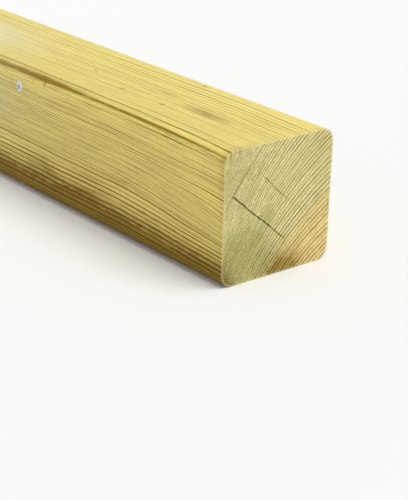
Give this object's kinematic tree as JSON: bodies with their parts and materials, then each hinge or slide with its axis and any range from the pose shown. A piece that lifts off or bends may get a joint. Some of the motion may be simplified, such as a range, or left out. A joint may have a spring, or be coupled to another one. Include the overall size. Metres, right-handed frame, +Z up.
{
  "type": "treated pine post",
  "caption": "Square pressure-treated pine post, planed all round with machined round arrises and plain sawn ends, for fences, decks and frames.",
  "frame": {"origin": "centre of the planed face that the post lies on, at floor level", "axes": "+X along the post, from one sawn end to the other; +Z up from the face it lies on; +Y across"},
  "size_m": [1.8, 0.09, 0.09],
  "materials": {
    "treated_pine": "planed softwood, green-tinted by pressure treatment, with sawn end grain"
  },
  "bodies": {
    "root": {"post": "treated_pine"}
  },
  "joints": []
}
